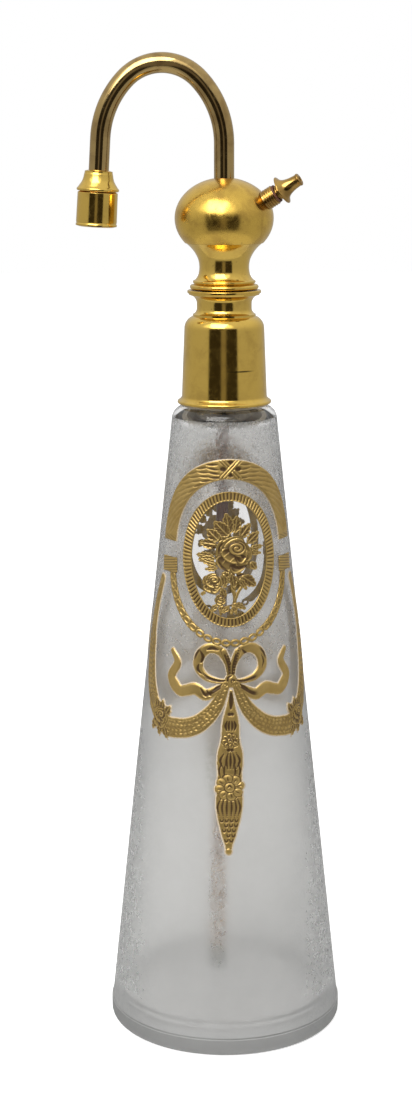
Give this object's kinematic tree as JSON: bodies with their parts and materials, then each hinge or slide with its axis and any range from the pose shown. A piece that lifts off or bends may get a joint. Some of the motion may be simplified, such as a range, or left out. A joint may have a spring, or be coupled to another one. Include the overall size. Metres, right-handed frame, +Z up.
{
  "type": "perfume atomiser",
  "caption": "Tall conical etched-glass perfume atomiser with a brass screw collar, ball head, swan-neck tube, downward nozzle and hose nipple.",
  "frame": {"origin": "centre of the bottle's resting plane", "axes": "+Z up along the bottle's axis, +X towards the hose nipple, -X towards the nozzle, -Y the front with the oval window"},
  "size_m": [0.0683, 0.0616, 0.2539],
  "materials": {
    "etched_glass": "acid-etched ground with polished foot band, shoulder and window, gilt relief",
    "polished_brass": "polished, worn",
    "tarnished_brass": "darkened, satin",
    "raw_brass": "turned",
    "stained_tube": "stained",
    "gauze": "woven wire",
    "plaster": "matt plaster",
    "cork": "cork",
    "gilding": "fired matt gilding with brown lines",
    "fibre": "vulcanised fibre"
  },
  "bodies": {
    "bottle": {"bottle": "etched_glass", "cement_ring": "plaster", "collar": "polished_brass", "threaded_bush": "raw_brass"},
    "gasket": {"cork_gasket": "cork"},
    "slip_ring": {"slip_ring": "raw_brass"},
    "head": {"head_pedestal": "polished_brass", "screw_spigot": "raw_brass", "manifold_core": "raw_brass", "tube_nut": "raw_brass", "dip_tube": "stained_tube", "tube_strainer": "gauze", "ball_shell": "polished_brass", "tube_socket": "raw_brass", "swan_neck_tube": "tarnished_brass", "liquid_tube": "raw_brass", "nozzle_bell": "polished_brass", "liquid_jet": "raw_brass", "inlet_stub": "polished_brass"},
    "nozzle_washer": {"nozzle_gasket": "fibre"},
    "nozzle_cap": {"nozzle_cap": "polished_brass", "orifice_disc": "raw_brass"},
    "nipple_washer": {"nipple_washer": "fibre"},
    "nipple": {"hose_nipple": "polished_brass"}
  },
  "joints": [
    {"name": "head_rise", "type": "slide", "parent": "bottle", "child": "gasket", "axis": [0, 0, 1], "range_m": [0, 0.003]},
    {"name": "head_lift_off", "type": "slide", "parent": "gasket", "child": "slip_ring", "axis": [0, 0, 1], "range_m": [0, 0.19]},
    {"name": "head_turn", "type": "hinge", "parent": "slip_ring", "child": "head", "pos_m": [0, 0, 0.19], "axis": [0, 0, 1], "range_deg": [0, 1080]},
    {"name": "nozzle_drop", "type": "slide", "parent": "head", "child": "nozzle_washer", "axis": [-0.061, 0, -0.9981], "range_m": [0, 0.0024]},
    {"name": "nozzle_turn", "type": "hinge", "parent": "nozzle_washer", "child": "nozzle_cap", "pos_m": [-0.03199, 0, 0.21613], "axis": [-0.061, 0, -0.9981], "range_deg": [0, 1080]},
    {"name": "nipple_out", "type": "slide", "parent": "head", "child": "nipple_washer", "axis": [0.8152, -0.2649, 0.515], "range_m": [0, 0.0021]},
    {"name": "nipple_turn", "type": "hinge", "parent": "nipple_washer", "child": "nipple", "pos_m": [0.01285, -0.00418, 0.21914], "axis": [0.8152, -0.2649, 0.515], "range_deg": [0, 1080]}
  ],
  "couplings": [
    {"joint": "head_rise", "follows": "head_turn", "m_per_rad": 0.00015915},
    {"joint": "nozzle_turn", "follows": "nozzle_drop", "rad_per_m": 7854},
    {"joint": "nipple_turn", "follows": "nipple_out", "rad_per_m": 8976}
  ]
}
